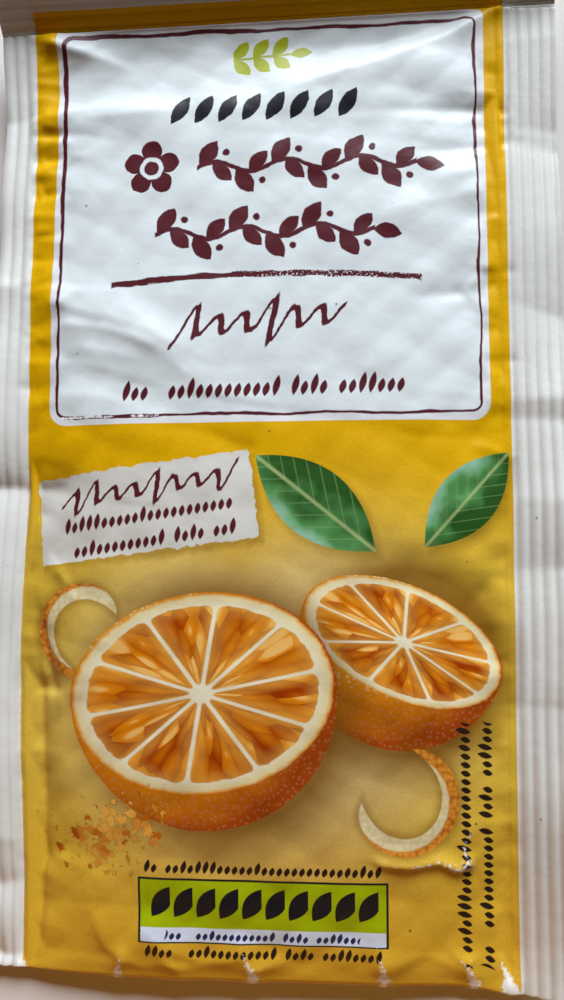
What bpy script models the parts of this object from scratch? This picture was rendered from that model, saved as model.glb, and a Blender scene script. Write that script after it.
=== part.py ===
"""Flat sachet with a few grams of dried, grated peel in it, sealed and lying on its back.

The pack is one folded web of paper laminate. Its bottom edge is the fold, both sides and
the top are ribbed heat seals, and the filling domes the front while the back lies flat.
The top seal curls up off the surface. Metres, +Z up, +X to the pack's right and +Y
towards its top seal. The origin is under the middle of the pack, on the surface.

The web is worked out on flat coordinates: "across" runs from -PACK_WIDTH / 2 to
PACK_WIDTH / 2 and "along" from 0 at the bottom fold to the top seal's cut edge.
"""

import math

import bpy

# Sizes of the flat web
PACK_WIDTH = 0.080
BODY_LENGTH = 0.1339
RIB_PITCH = 0.00155
LEFT_RIBS = 3
RIGHT_RIBS = 5
TOP_RIBS = 8
POUCH_LEFT = LEFT_RIBS * RIB_PITCH - PACK_WIDTH / 2
POUCH_RIGHT = PACK_WIDTH / 2 - RIGHT_RIBS * RIB_PITCH
POUCH_MIDDLE = (POUCH_LEFT + POUCH_RIGHT) / 2
POUCH_HALF = (POUCH_RIGHT - POUCH_LEFT) / 2

# The seals
SEAL_THICKNESS = 0.0004
RIB_HEIGHT = 0.00030
TOP_RIB_SHARE = 0.3
SEAM_HEIGHT = 0.0031
CURL_ANGLE = math.radians(40)
CURL_START = 0.13375
CURL_LEAN = 0.008
CURL_RUN = 0.0032

# How far the seals' outer edges curl up: along the lower part, and more at two corners
LEFT_CURL = 0.0013
LEFT_TOP_CURL = 0.0008
RIGHT_CURL = 0.0029
RIGHT_CORNER_CURL = 0.0011

# Slow waves along the left and the right seal: length, height and turn
LEFT_WAVES = ((0.068, 0.00035, 0.54), (0.027, 0.00012, 1.49))
RIGHT_WAVES = ((0.074, 0.00032, 5.06), (0.031, 0.00012, 5.08))

# The filled pouch
DOME_HEIGHT = 0.0038
DOME_POWER = 3.4
BOTTOM_SHOULDER = 0.010
TOP_SINK = 0.70
TOP_DIP = 0.24
FOLD_HEIGHT = 0.00095
FOLD_LIFT = 0.0005
FOLD_GAP = 0.0012
FOLD_RUN = 0.048
TOUCHDOWN = 0.009
SWELL = 0.00018

# Rows and columns of the mesh
POUCH_COLUMNS = 20
POUCH_ROWS = 44
FOLD_STEPS = 4

# Creases in the front: (across, along) of both ends, width, and the height at both ends,
# negative for a valley
CREASES = (
    ((-0.0326, 0.1317), (-0.0210, 0.1279), 0.0028, (0.0016, 0.0001)),
    ((-0.0336, 0.1212), (-0.0120, 0.1208), 0.0034, (0.0011, 0.0001)),
    ((-0.0334, 0.1186), (-0.0230, 0.1168), 0.0026, (-0.0005, -0.0001)),
    ((0.0060, 0.1248), (0.0290, 0.1325), 0.0030, (0.0001, 0.0003)),
    ((0.0090, 0.1196), (0.0319, 0.1190), 0.0030, (-0.0001, -0.0006)),
    ((-0.0320, 0.0922), (-0.0140, 0.0856), 0.0034, (0.0007, 0.0003)),
    ((-0.0310, 0.0856), (-0.0130, 0.0806), 0.0030, (-0.0003, -0.0003)),
    ((0.0326, 0.1152), (0.0400, 0.1145), 0.0050, (-0.0003, -0.0015)),
    ((-0.0400, 0.0663), (-0.0330, 0.0661), 0.0034, (-0.0016, -0.0008)),
    ((-0.0400, 0.0106), (-0.0340, 0.0116), 0.0034, (-0.0014, -0.0002)),
    ((0.0320, 0.0543), (0.0400, 0.0547), 0.0036, (-0.0004, -0.0007)),
    ((-0.0400, 0.0956), (-0.0350, 0.0953), 0.0036, (0.0006, 0.0003)),
    ((0.0330, 0.0780), (0.0400, 0.0778), 0.0036, (0.0003, 0.0006)),
    ((0.0310, 0.0754), (0.0400, 0.0746), 0.0026, (-0.0003, -0.0005)),
    ((-0.0321, 0.0378), (-0.0320, 0.0156), 0.0026, (-0.0009, -0.0008)),
    ((0.0144, 0.0159), (0.0259, 0.0158), 0.0026, (0.0004, 0.0005)),
    ((0.0155, 0.0022), (0.0246, 0.0022), 0.0030, (0.0002, 0.0002)),
)

PAPER_WHITE = (0.72, 0.72, 0.70, 1.0)
PAPER_ROUGHNESS = 0.42


def smooth(value):
    """Eases from 0 to 1 as value goes from 0 to 1."""
    value = min(max(value, 0.0), 1.0)
    return value * value * (3 - 2 * value)


def column_places():
    """Places across the web: two to a rib in the seals, and closer near the seams in the pouch."""
    left = [k * RIB_PITCH / 2 - PACK_WIDTH / 2 for k in range(2 * LEFT_RIBS)]
    right = [PACK_WIDTH / 2 - k * RIB_PITCH / 2 for k in reversed(range(2 * RIGHT_RIBS))]
    pouch = []
    for k in range(POUCH_COLUMNS + 1):
        share = 2 * k / POUCH_COLUMNS - 1
        spread = (share + math.sin(math.pi / 2 * share)) / 2
        pouch.append(POUCH_MIDDLE + POUCH_HALF * spread)
    return left + pouch + right


def row_places():
    """Places along the web: closer near the fold and the crease, then two to a rib."""
    pouch = []
    for k in range(POUCH_ROWS):
        share = 2 * k / POUCH_ROWS - 1
        pouch.append(BODY_LENGTH / 2 * (1 + (share + math.sin(math.pi / 2 * share)) / 2))
    seal = [BODY_LENGTH + k * RIB_PITCH / 2 for k in range(2 * TOP_RIBS + 1)]
    return pouch + seal


def rib(across, along):
    """Height of the sealing jaws' ribs, which run along the sides and across the top."""
    height = RIB_HEIGHT
    if along > BODY_LENGTH:
        depth = along - BODY_LENGTH
        height *= TOP_RIB_SHARE
    elif across < POUCH_LEFT:
        depth = POUCH_LEFT - across
    elif across > POUCH_RIGHT:
        depth = across - POUCH_RIGHT
    else:
        return 0.0
    return height * abs(math.sin(math.pi * depth / RIB_PITCH))


def waves(along, parts):
    """Sum of the slow waves along one seal."""
    total = 0.0
    for length, height, turn in parts:
        total += height * math.sin(2 * math.pi * along / length + turn)
    return total


def seam_height(across, along):
    """Height of the seams' middle: low at the fold, waving along each side, curled up outside."""
    side = across / (PACK_WIDTH / 2)
    left = max(-side, 0.0)
    right = max(side, 0.0)
    rise = smooth(along / (FOLD_RUN * (1 - 0.45 * right * right)))
    low = FOLD_HEIGHT + FOLD_LIFT * left - FOLD_LIFT * right * right
    left_rim = (POUCH_LEFT - across) / (PACK_WIDTH / 2 + POUCH_LEFT)
    right_rim = (across - POUCH_RIGHT) / (PACK_WIDTH / 2 - POUCH_RIGHT)
    left_curl = LEFT_CURL * smooth(along / 0.009) * (1 - smooth((along - 0.075) / 0.020))
    left_curl += LEFT_TOP_CURL * smooth((along - 0.100) / 0.015)
    right_curl = RIGHT_CURL * (1 - smooth((along - 0.058) / 0.034))
    right_curl += RIGHT_CORNER_CURL * (1 - smooth((along - 0.008) / 0.030))
    curled = left_curl * max(left_rim, 0.0) + right_curl * max(right_rim, 0.0)
    wave = left * waves(along, LEFT_WAVES) + right * waves(along, RIGHT_WAVES)
    return low + (SEAM_HEIGHT - low) * rise + wave * (0.3 + 0.7 * rise) + curled


def top_fall(across, along):
    """The share of the filling's height lost on the slope that crosses the pack under the top seal."""
    crest = 0.1236 + 0.205 * across + 3.5 * across**2
    soft = 0.0002 + 0.0013 * math.exp(-(((across + 0.005) / 0.008) ** 2))
    run = 0.0010 + 0.0018 * math.exp(-(((across + 0.008) / 0.016) ** 2))
    steps = (along - crest) / soft
    past = soft * (max(steps, 0.0) + math.log1p(math.exp(-abs(steps))))
    return 1 - math.exp(-past / run)


def dome(across, along):
    """How far the filling lifts the front above the seams: most low down, little at the top."""
    aside = abs(across - POUCH_MIDDLE) / POUCH_HALF
    if aside >= 1 or along >= BODY_LENGTH:
        return 0.0
    over = 1 - aside**DOME_POWER
    bottom = 1 - math.exp(-along / BOTTOM_SHOULDER)
    top = 1 - top_fall(across, along)
    dip = TOP_DIP * math.exp(-(((along - 0.1300) / 0.0028) ** 2))
    sunk = 1 - TOP_SINK * smooth((along - 0.040) / 0.084)
    fold = FOLD_GAP * math.exp(-along / BOTTOM_SHOULDER)
    ripple = math.sin(across / 0.0065 + along / 0.011) * math.sin(along / 0.0090 - across / 0.021)
    return over * ((DOME_HEIGHT * sunk + SWELL * ripple) * (bottom * top - dip) + fold)


def crease(across, along):
    """Height that the creases add: each is a rounded ridge or valley along a straight line."""
    total = 0.0
    for (x0, y0), (x1, y1), width, (first, last) in CREASES:
        run = (x1 - x0, y1 - y0)
        share = ((across - x0) * run[0] + (along - y0) * run[1]) / (run[0] ** 2 + run[1] ** 2)
        share = min(max(share, 0.0), 1.0)
        away = math.hypot(across - x0 - share * run[0], along - y0 - share * run[1])
        total += (first + (last - first) * share) * math.exp(-((away / width) ** 2))
    return total * smooth(along / 0.003) * (1 - smooth((along - BODY_LENGTH) / 0.002))


def resting(across, along):
    """1 where the back lies flat on the surface, and 0 at the seams."""
    side = smooth((POUCH_HALF - abs(across - POUCH_MIDDLE)) / TOUCHDOWN)
    ends = smooth(along / TOUCHDOWN) * smooth((BODY_LENGTH - along) / TOUCHDOWN)
    return side * ends


def back_height(across, along):
    lift = seam_height(across, along) - SEAL_THICKNESS / 2 + rib(across, along)
    if not POUCH_LEFT < across < POUCH_RIGHT:
        lift += crease(across, along)
    return max(lift, 0.0) * (1 - resting(across, along))


def front_height(across, along):
    lift = seam_height(across, along) + SEAL_THICKNESS / 2 + rib(across, along)
    lift += dome(across, along) + crease(across, along)
    return max(lift, back_height(across, along) + SEAL_THICKNESS)


def bent(across, along, height):
    """A point at this height off the web, after the top seal's curl."""
    start = CURL_START + CURL_LEAN * across
    past = max(along - start, 0.0)
    radius = CURL_RUN / CURL_ANGLE
    angle = min(past, CURL_RUN) / radius
    rest = max(past - CURL_RUN, 0.0)
    y = min(along, start) + radius * math.sin(angle) + rest * math.cos(angle)
    z = radius * (1 - math.cos(angle)) + rest * math.sin(angle)
    return (across, y - height * math.sin(angle), z + height * math.cos(angle))


def fold_point(across, step):
    """A point on the bottom fold's half round, from the front at step 0 to the back."""
    top = front_height(across, 0.0)
    low = back_height(across, 0.0)
    angle = math.pi * step / FOLD_STEPS
    radius = (top - low) / 2
    return (across, -radius * math.sin(angle), low + radius + radius * math.cos(angle))


def web_mesh():
    """The closed skin: front, bottom fold and back as one strip, then the three cut edges."""
    columns = column_places()
    rows = row_places()
    profile = []
    for along in reversed(rows):
        profile.append([bent(across, along, front_height(across, along)) for across in columns])
    for step in range(1, FOLD_STEPS):
        profile.append([fold_point(across, step) for across in columns])
    for along in rows:
        profile.append([bent(across, along, back_height(across, along)) for across in columns])

    points = [point for line in profile for point in line]
    middle = (min(p[1] for p in points) + max(p[1] for p in points)) / 2
    points = [(x, y - middle, z) for x, y, z in points]

    wide = len(columns)
    lines = len(profile)
    faces = []
    for line in range(lines - 1):
        for k in range(wide - 1):
            first = line * wide + k
            faces.append((first, first + wide, first + wide + 1, first + 1))
    last = (lines - 1) * wide
    for k in range(wide - 1):
        faces.append((k, k + 1, last + k + 1, last + k))
    for line in range(len(rows) - 1):
        front = line * wide
        back = (lines - 1 - line) * wide
        faces.append((front, back, back - wide, front + wide))
        front += wide - 1
        back += wide - 1
        faces.append((front, front + wide, back - wide, back))
    start = (len(rows) - 1) * wide
    fold = [start + step * wide for step in range(FOLD_STEPS + 1)]
    faces.append(tuple(reversed(fold)))
    faces.append(tuple(index + wide - 1 for index in fold))

    mesh = bpy.data.meshes.new("sachet")
    mesh.from_pydata(points, [], faces)
    mesh.shade_smooth()
    mesh.set_sharp_from_angle(angle=math.radians(50))
    return mesh


def paper_material():
    material = bpy.data.materials.new("laminated_paper")
    material.use_nodes = True
    shader = material.node_tree.nodes["Principled BSDF"]
    shader.inputs["Base Color"].default_value = PAPER_WHITE
    shader.inputs["Roughness"].default_value = PAPER_ROUGHNESS
    shader.inputs["Metallic"].default_value = 0.0
    return material


def main():
    for old in list(bpy.data.objects):
        bpy.data.objects.remove(old)
    mesh = web_mesh()
    mesh.materials.append(paper_material())
    sachet = bpy.data.objects.new("sachet", mesh)
    bpy.context.collection.objects.link(sachet)


main()
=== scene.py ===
"""Sachet of dried, grated peel: a printed web of laminated paper, folded at the bottom and
heat sealed on three sides, lying on its back with the top seal bent up.

Lengths here are in millimetres and become metres where a mesh or an object is made. The web
is worked out flat: "across" runs from the left cut edge to the right one with 0 in the middle,
and "along" runs from 0 at the bottom fold to the top cut edge. The back has the same places.
"""

import math
from collections import namedtuple
from functools import partial

import bpy
import numpy as np
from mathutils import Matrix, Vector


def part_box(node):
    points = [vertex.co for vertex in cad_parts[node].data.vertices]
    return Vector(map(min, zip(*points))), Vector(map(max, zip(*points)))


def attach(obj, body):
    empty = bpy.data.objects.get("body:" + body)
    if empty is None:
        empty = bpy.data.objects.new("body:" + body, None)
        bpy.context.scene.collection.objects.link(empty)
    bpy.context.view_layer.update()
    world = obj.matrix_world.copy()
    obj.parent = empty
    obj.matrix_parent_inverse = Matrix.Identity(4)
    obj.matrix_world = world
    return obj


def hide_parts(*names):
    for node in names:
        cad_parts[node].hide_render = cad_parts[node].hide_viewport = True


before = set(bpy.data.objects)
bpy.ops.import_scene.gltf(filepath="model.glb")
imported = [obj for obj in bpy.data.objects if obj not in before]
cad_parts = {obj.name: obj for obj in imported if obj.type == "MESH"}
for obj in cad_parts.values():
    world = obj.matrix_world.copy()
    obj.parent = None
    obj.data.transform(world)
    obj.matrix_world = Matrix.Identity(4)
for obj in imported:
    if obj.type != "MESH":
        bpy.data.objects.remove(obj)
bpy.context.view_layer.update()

MM = 0.001
LOW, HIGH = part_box("sachet")
SEED = 11

# The flat web
PACK_HALF = (HIGH[0] - LOW[0]) / MM / 2
RIB_PITCH = 1.55
LEFT_RIBS, RIGHT_RIBS = 3, 5
TOP_RIBS = 8
POUCH_LEFT = LEFT_RIBS * RIB_PITCH - PACK_HALF
POUCH_RIGHT = PACK_HALF - RIGHT_RIBS * RIB_PITCH
POUCH_MIDDLE = (POUCH_LEFT + POUCH_RIGHT) / 2
POUCH_HALF = (POUCH_RIGHT - POUCH_LEFT) / 2
BODY_LENGTH = 133.9
WEB_LENGTH = BODY_LENGTH + TOP_RIBS * RIB_PITCH

# Its shape
THICKNESS = 0.24
RIB_HEIGHT = 0.30
TOP_RIB_SHARE = 0.3
RIGHT_RIB_PHASE = 0.5
FOLD_HALF = 0.8
FOLD_STEPS = 6
FOLD_Y = LOW[1] / MM + FOLD_HALF
SEAM_HEIGHT = 3.1
FOLD_HEIGHT = 0.95
FOLD_RUN = 48.0
DOME_HEIGHT = 3.8
DOME_POWER = 3.4
BOTTOM_SHOULDER = 10.0
TOP_SINK = 0.70
TOP_DIP = 0.24
TOUCHDOWN = 9.0
CURL_ANGLE = math.radians(40)
CURL_START = 133.75
CURL_LEAN = 0.008
CURL_RUN = 3.2
LEFT_CURL, LEFT_TOP_CURL = 1.3, 0.8
RIGHT_CURL, RIGHT_CORNER_CURL = 2.9, 1.1
CORNER_SLACK = 1.3

# The mesh: steps to a rib, and steps over the pouch, on the front; the back has half as many
STEPS_PER_SIDE_RIB = 6
STEPS_PER_TOP_RIB = 6
POUCH_COLUMNS = 158
POUCH_ROWS = 298

# Which print a face carries
UPPER, LOWER, BACK, EDGE = range(4)
UPPER_FROM = 74.1


# --- nodes and colours -------------------------------------------------------------------

def ink(code):
    """An sRGB hex colour as the linear colour that a socket holds."""
    parts = [int(code[k : k + 2], 16) / 255 for k in (1, 3, 5)]
    linear = [c / 12.92 if c <= 0.04045 else ((c + 0.055) / 1.055) ** 2.4 for c in parts]
    return (*linear, 1.0)


# What the second word of a node's kind sets, whichever of these the node has
MODES = ("operation", "data_type", "noise_dimensions", "voronoi_dimensions")


def put(tree, kind, *values, **settings):
    """Adds a node such as "Math ADD" or "TexNoise 2D", sets it up, and fills its inputs in order."""
    kind, *mode = kind.split()
    made = tree.nodes.new(kind if "Node" in kind else "ShaderNode" + kind)
    if mode:
        setattr(made, next(name for name in MODES if hasattr(made, name)), mode[0])
    for name, value in settings.items():
        setattr(made, name, value)
    sockets = [socket for socket in made.inputs if not socket.is_unavailable]
    for socket, value in zip(sockets, values):
        if isinstance(value, bpy.types.Node):
            value = next(out for out in value.outputs if not out.is_unavailable)
        if isinstance(value, bpy.types.NodeSocket):
            tree.links.new(value, socket)
        elif isinstance(value, str) and value.startswith("#"):
            socket.default_value = ink(value)
        elif value is not None:
            socket.default_value = value
    return made


# --- the shape of the web ----------------------------------------------------------------

# A crease pressed into the web by handling: points from left to right or down the pack, the
# height at both ends (negative for a valley), how fast the web falls away on the line's left
# and right hand, and how much ink the crease has lost.
Crease = namedtuple("Crease", "points heights left right worn", defaults=(0.0,))

CREASES = [Crease(*row) for row in (
    # below the top seal
    (((-32.6, 131.7), (-28, 130.4), (-21, 127.9)), (1.90, 0.10), 2.8, 1.9),
    (((-26, 126.8), (-20.5, 126.0)), (0.14, 0.05), 1.2, 0.8),
    (((-33.6, 121.2), (-27, 121.8), (-20, 121.7), (-12, 121.6)), (1.25, 0.08), 2.3, 5.0),
    (((-33.4, 118.6), (-28, 118.0), (-23, 116.8)), (-0.70, -0.10), 1.5, 3.2),
    (((-31, 115.2), (-27, 114.8)), (0.24, 0.06), 1.0, 0.6),
    (((6, 124.8), (14, 126.7), (20, 128.7), (25, 130.5), (29, 132.5)), (0.10, 0.32), 0.9, 3.4),
    (((2, 128.4), (12, 129.4), (20, 131.2), (26, 132.8)), (-0.04, -0.18), 2.2, 1.6),
    (((27, 131.6), (29.5, 133.2), (31.6, 134.4)), (0.20, 0.45), 0.7, 0.9),
    (((31.9, 133.6), (34.6, 134.9)), (0.60, 0.40), 0.8, 0.8, 0.6),
    (((9, 119.6), (22, 119.3), (31.9, 119.0)), (-0.24, -0.66), 2.5, 7.0),
    (((16, 119.9), (31.9, 119.4)), (-0.04, -0.26), 0.5, 1.2),
    (((28.5, 118.2), (33, 118.1)), (0.10, 0.16), 0.5, 0.5),
    (((20, 113.3), (32.3, 114.0)), (-0.08, -0.45), 0.9, 1.1),
    (((28.3, 113.0), (32.6, 113.7)), (0.06, 0.26), 0.5, 0.6),
    (((8, 102.5), (18, 104.8), (28.8, 107.4)), (0.08, 0.34), 2.6, 2.0),
    (((23, 109.2), (29, 110.6)), (0.03, 0.24), 1.2, 0.7),
    # the star at the right, and the folds at the left of the panel
    (((19.5, 92.2), (26.6, 92.8)), (-0.08, -0.60), 1.3, 1.0),
    (((26.8, 93.0), (30.2, 97.0)), (0.46, 0.20), 0.9, 1.1),
    (((26.8, 92.8), (29.4, 90.2)), (0.30, 0.06), 0.8, 0.8),
    (((-32, 92.9), (-26, 91.0), (-20, 89.4), (-14, 86.2)), (0.95, 0.30), 4.5, 2.8),
    (((-31, 85.6), (-26, 82.6), (-21, 80.6), (-15, 79.6)), (-0.44, -0.44), 3.2, 12.0),
    (((-19.5, 87.5), (-14, 83.6), (-9.5, 80.2)), (0.24, 0.28), 4.0, 1.8),
    (((-29.5, 89.6), (-23, 88.4), (-16.4, 86.0)), (0.38, 0.26), 0.8, 1.7),
    (((-31, 84.0), (-24, 82.9), (-17, 80.9)), (0.34, 0.16), 1.4, 5.5),
    (((-31, 79.6), (-25, 79.0), (-20, 77.8)), (0.24, 0.10), 0.8, 1.9),
    (((-31, 109.6), (-24, 109.4), (-18, 108.2)), (0.20, 0.08), 2.5, 6.0),
    (((-12, 80.2), (0, 80.0), (14, 80.6)), (-0.10, -0.12), 1.6, 2.4),
    (((13, 82.2), (19, 84.4)), (0.13, 0.05), 1.6, 2.4),
    (((-27, 85.9), (-20.4, 84.6)), (0.22, 0.16), 1.0, 1.4),
    (((-20.6, 91.4), (-14.8, 86.6)), (0.12, 0.20), 1.6, 1.6),
    (((-30.4, 93.0), (-28.6, 94.3)), (0.30, 0.10), 0.5, 0.6),
    (((-36, 95.3), (-30, 96.3)), (-0.22, -0.10), 0.6, 0.6),
    (((-36, 80.7), (-30.5, 81.0)), (-0.22, -0.06), 0.5, 0.5),
    # across the printed edge at the left, high up
    (((-34.8, 130.6), (-31, 131.2)), (-0.30, -0.20), 0.8, 0.8),
    (((-34.8, 126.4), (-31.2, 126.0)), (0.34, 0.16), 0.6, 0.8),
    (((-34.8, 117.6), (-30.6, 117.2)), (0.40, 0.20), 0.4, 0.7),
    (((-34.8, 114.6), (-30.2, 115.0)), (-0.42, -0.16), 0.8, 0.6),
    (((-34.8, 112.6), (-31, 112.2)), (0.34, 0.14), 0.5, 0.7),
    (((-34.8, 109.4), (-30.6, 109.9)), (-0.40, -0.16), 0.8, 0.5),
    (((-34.8, 106.2), (-31, 105.8)), (0.30, 0.12), 0.5, 0.9),
    (((-34.8, 102.8), (-30.8, 103.5)), (-0.34, -0.12), 0.8, 0.5),
    # across the side seals
    (((-40, 120.6), (-35.5, 120.6)), (-1.15, -0.35), 5.0, 9.0),
    (((-40, 95.6), (-35, 95.3)), (0.75, 0.40), 2.5, 7.0),
    (((-40, 66.3), (-33, 66.1), (-26, 64.9)), (-1.80, -0.28), 2.6, 8.0),
    (((-40, 10.8), (-34, 11.8)), (-1.55, -0.20), 5.0, 4.4),
    (((-40, 18.0), (-35, 17.0)), (0.30, 0.06), 3.0, 1.6),
    (((-40, 1.6), (-34.5, 0.9)), (-0.90, -0.20), 2.2, 1.6),
    (((31, 75.4), (40, 74.6)), (-0.36, -0.55), 2.4, 4.0),
    (((33, 91.4), (40, 89.0)), (-0.20, -0.75), 3.4, 7.0),
    (((33, 78.0), (40, 77.8)), (0.34, 0.72), 6.0, 3.0),
    (((32.6, 116.6), (40, 116.0)), (-0.25, -1.00), 5.0, 12.0),
    (((32.6, 113.8), (40, 113.0)), (-0.20, -0.90), 5.0, 12.0),
    (((32.6, 128.8), (40, 129.6)), (0.26, 0.26), 4.0, 6.0),
    (((32, 114.8), (38.5, 114.3)), (-0.14, -0.04), 0.5, 0.5),
    (((32.6, 64.0), (40, 63.6)), (0.25, 0.60), 5.0, 8.0),
    (((32, 54.3), (40, 54.7)), (-0.35, -0.70), 3.6, 7.0),
    (((32, 36.4), (40, 36.2)), (-0.24, -0.46), 2.0, 8.0),
    # in the printed edges beside them
    (((29.6, 83.2), (33, 83.3)), (-0.24, -0.24), 0.5, 0.5),
    (((30.4, 81.4), (30.0, 76.6)), (0.26, 0.14), 0.5, 0.5),
    (((29, 95.6), (33, 95.8)), (-0.20, -0.20), 0.6, 0.6),
    (((18, 72.8), (28, 72.3)), (-0.20, -0.14), 1.8, 1.6),
    (((-15, 74.4), (-9, 73.4), (-3.5, 71.2)), (-0.16, -0.34), 1.8, 1.8),
    (((-29, 72.8), (-22, 73.6), (-16, 73.0)), (0.12, 0.16), 2.0, 2.2),
    # the pinch and the long valley down the left
    (((-29.6, 54.4), (-27.0, 50.4)), (0.50, 0.16), 0.6, 1.4),
    (((-29.6, 54.6), (-19.5, 55.6)), (0.20, 0.05), 1.0, 1.0),
    (((-32.4, 48.6), (-31.2, 43), (-30.0, 38.2)), (-0.35, -0.90), 0.7, 1.4),
    (((-32.0, 37.4), (-29.8, 37.1), (-27.6, 37.8)), (0.40, 0.20), 0.5, 1.8),
    (((-32.1, 37.8), (-31.8, 26), (-32.0, 15.6)), (-1.55, -1.25), 1.4, 3.0),
    (((-31.9, 15.2), (-32.9, 4.0)), (-0.75, -0.70), 0.9, 2.0),
    (((-31.0, 15.4), (-26.0, 14.5)), (0.16, 0.06), 0.5, 1.5),
    # the cracked crease, and the fan of folds along the bottom
    (((14.4, 15.9), (18, 15.5), (21.8, 16.2), (24.6, 15.1), (25.9, 15.8)), (0.60, 0.80), 0.9, 0.35, 0.7),
    (((25.6, 16.2), (25.3, 18.4), (26.4, 20.4)), (0.32, 0.12), 0.6, 0.7, 0.9),
    (((-36.4, 1.4), (-35.3, 0.1)), (0.10, 0.45), 0.6, 0.6, 1.1),
    (((-24.8, 8.4), (-23, 3.6), (-20.6, 2.0)), (0.20, 0.60), 2.6, 1.0),
    (((-20.8, 2.8), (-21.4, 0.2)), (0.40, 0.50), 0.8, 0.8, 0.9),
    (((-16.8, 5.6), (-14.8, 1.8), (-12.9, 0.3)), (0.14, 0.70), 1.2, 1.8),
    (((-14.8, 3.8), (-10, 2.0), (-6, 2.2)), (0.22, 0.42), 1.6, 1.1),
    (((-4.6, 5.0), (-3.9, 2.6), (-3.0, 0.2)), (0.12, 0.62), 0.9, 1.2, 1.0),
    (((3.8, 3.8), (-2.6, 0.8)), (0.08, 0.36), 0.8, 0.8, 0.5),
    (((13.5, 5.6), (14.2, 2.4), (14.5, 0.2)), (0.12, 0.66), 1.2, 0.8, 0.95),
    (((15.5, 1.9), (20, 3.8), (24.6, 2.0)), (0.26, 0.30), 2.0, 1.2),
    (((23.6, 4.2), (25.4, 2.6), (26.4, 0.3)), (0.16, 0.62), 1.0, 1.0, 0.95),
    (((25.8, 3.0), (28.2, 4.6)), (0.40, 0.10), 0.8, 0.8, 0.5),
    (((30.0, 3.6), (31.0, 1.4), (31.2, 0.2)), (0.20, 0.90), 1.0, 0.9, 1.35),
    (((30.9, 22), (30.7, 9), (31.0, 1.5)), (-0.30, -0.85), 0.9, 3.0),
    (((27, -0.4), (31.4, -0.6)), (0.30, 0.70), 2.6, 1.0),
    (((24, 24), (28.4, 17), (29.6, 4)), (0.06, 0.34), 1.4, 3.0),
    # lines that only rub the ink off
    (((-30.4, 76.0), (-22.4, 76.1)), (0.06, 0.05), 0.4, 0.4, 1.05),
    (((-19.6, 75.9), (-16.0, 76.2)), (0.05, 0.05), 0.4, 0.4, 0.95),
)]

# Small dents: across, along, depth and radius
DENTS = (
    (26.7, 92.9, 0.42, 1.9),
    (28.1, 51.5, 0.36, 1.7),
    (26.9, 44.7, 0.24, 3.0),
    (13.0, 48.6, 0.18, 5.0),
    (-30.2, 56.9, 0.22, 1.5),
    (-6.0, 86.0, 0.10, 4.0),
    (9.0, 30.0, 0.14, 4.5),
    (-18.0, 106.0, 0.12, 5.0),
)


def eased(share):
    """Goes smoothly from 0 to 1 as share does."""
    share = np.clip(share, 0.0, 1.0)
    return share * share * (3 - 2 * share)


def around(value, middle, reach):
    """1 at the middle, dying away over the reach to both sides."""
    return np.exp(-(((value - middle) / reach) ** 2))


def wander(place, waves, seed):
    """A slow unevenness along one line: a sum of waves of these lengths and heights."""
    turns = np.random.default_rng(seed).uniform(0, 2 * math.pi, len(waves))
    return sum(
        height * np.sin(2 * math.pi * place / length + turn)
        for (length, height), turn in zip(waves, turns)
    )


def from_line(across, along, points):
    """Distance from a line of points, the share of it passed, and the side it lies on."""
    lengths = [math.dist(a, b) for a, b in zip(points, points[1:])]
    away = np.full(across.shape, np.inf)
    share = np.zeros(across.shape)
    side = np.zeros(across.shape)
    done = 0.0
    for (x0, y0), (x1, y1), length in zip(points, points[1:], lengths):
        ux, uy = (x1 - x0) / length, (y1 - y0) / length
        run = np.clip((across - x0) * ux + (along - y0) * uy, 0, length)
        dx, dy = across - x0 - run * ux, along - y0 - run * uy
        nearer = np.hypot(dx, dy) < away
        away = np.where(nearer, np.hypot(dx, dy), away)
        share = np.where(nearer, (done + run) / sum(lengths), share)
        side = np.where(nearer, ux * dy - uy * dx, side)
        done += length
    return away, share, side


def creased(across, along, line, apex=0.28):
    """Height and wear of one crease: sharp at its line, with flanks that die away to both sides."""
    away, share, side = from_line(across, along, line.points)
    reach = line.right + (line.left - line.right) * eased(0.5 + side / apex / 4)
    flank = (np.sqrt(away**2 + apex**2) - apex) / reach
    height = line.heights[0] + (line.heights[1] - line.heights[0]) * share
    sharpest = max(abs(end) for end in line.heights)
    rubbed = 0.32 + 1.5 * np.abs(height) * share**2
    worn = line.worn * np.sqrt(np.abs(height) / sharpest) * around(away, 0, rubbed)
    return height * np.exp(-flank), worn


def seam_puckers():
    """The short creases that a filled pouch pulls from its seams, strongest high up on the left."""
    rng = np.random.default_rng(SEED)
    found = []
    for inward, edge in ((1, POUCH_LEFT), (-1, POUCH_RIGHT)):
        for along in np.arange(6.0, BODY_LENGTH - 4, 3.1):
            start = along + rng.uniform(-1.4, 1.4)
            long = rng.uniform(2.0, 6.0)
            lean = rng.uniform(-0.30, 0.30)
            x0 = edge + inward * rng.uniform(0.4, 1.4)
            x1 = x0 + inward * long * math.cos(lean)
            strong = 1.4 if inward > 0 and along > 96 else 0.9
            height = strong * rng.uniform(0.12, 0.28) * rng.choice((-1, 1))
            ends = ((x0, start), (x1, start + long * math.sin(lean)))
            left, right = rng.uniform(0.4, 1.0, 2)
            found.append(Crease(ends, (height, height * 0.15), left, right))
    for across in np.arange(-32.0, 30.0, 5.3):
        start = across + rng.uniform(-2, 2)
        long = rng.uniform(3.0, 9.0)
        ends = ((start, BODY_LENGTH), (start + rng.uniform(-1.5, 1.5), BODY_LENGTH - long))
        height = rng.uniform(0.03, 0.10) * rng.choice((-1, 1))
        left, right = rng.uniform(0.7, 1.6, 2)
        found.append(Crease(ends, (height, height * 0.1), left, right))
    return found


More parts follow.
